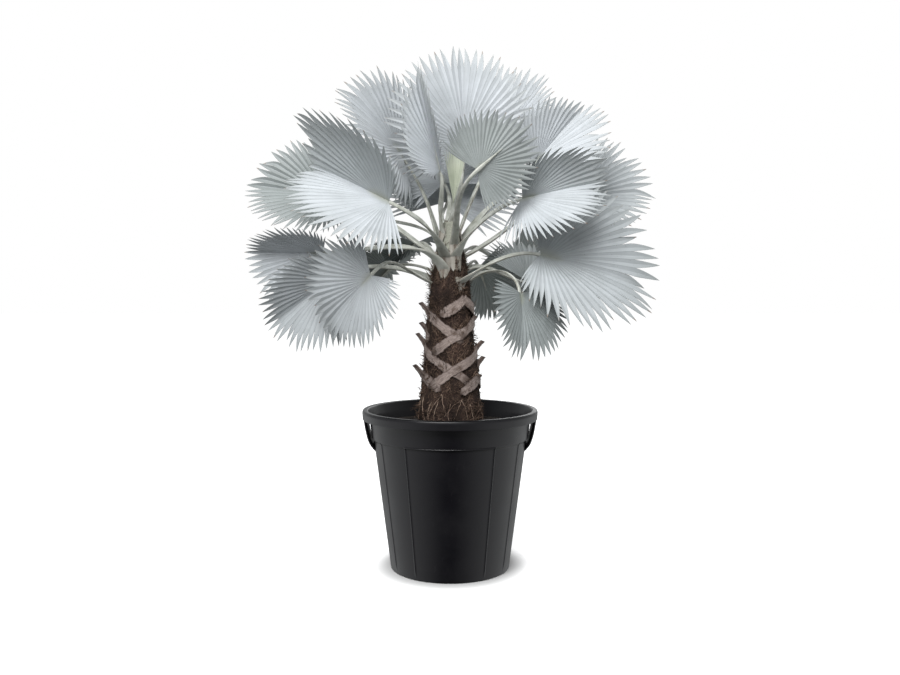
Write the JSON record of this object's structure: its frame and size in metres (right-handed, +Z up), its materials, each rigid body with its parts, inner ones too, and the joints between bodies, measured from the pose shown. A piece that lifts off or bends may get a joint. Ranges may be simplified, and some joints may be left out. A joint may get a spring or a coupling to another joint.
{
  "type": "potted bismarck palm",
  "caption": "Young fan palm with silvery folded fronds on a booted fibrous trunk, growing in a round black container with two strap handles.",
  "frame": {"origin": "centre of the container's flat underside, where it rests on the ground", "axes": "+Z up along the trunk; +X to the viewer's right and +Y away from the viewer in the picture; the two handles stand on the X axis"},
  "size_m": [1.3645, 1.1037, 1.6857],
  "materials": {
    "black_plastic": "satin moulded polypropylene",
    "potting_soil": "loose crumbly bark and peat",
    "trunk_fibre": "matted fibre with dry split leaf bases",
    "palm_leaf": "waxy silver-green, matte",
    "young_palm_leaf": "pale yellow-green, waxy"
  },
  "bodies": {
    "root": {"pot": "black_plastic", "soil": "potting_soil", "trunk": "trunk_fibre", "frond_top": "palm_leaf", "frond_top_left": "palm_leaf", "frond_top_front_left": "palm_leaf", "frond_top_right": "palm_leaf", "frond_front_high": "palm_leaf", "frond_right_high": "palm_leaf", "frond_front_left_upper": "palm_leaf", "frond_front_right": "palm_leaf", "frond_right_upper": "palm_leaf", "frond_left_upper": "palm_leaf", "frond_left": "palm_leaf", "frond_left_low": "palm_leaf", "frond_front_left_low": "palm_leaf", "frond_right_low": "palm_leaf", "frond_right_hanging": "palm_leaf", "frond_right_back": "palm_leaf", "frond_back_high": "palm_leaf", "frond_back_high_left": "palm_leaf", "frond_back_left": "palm_leaf", "frond_back_left_small": "palm_leaf", "frond_back_left_hanging": "palm_leaf", "frond_back_right": "palm_leaf", "frond_back_right_hanging": "palm_leaf", "young_leaf": "young_palm_leaf"}
  },
  "joints": []
}
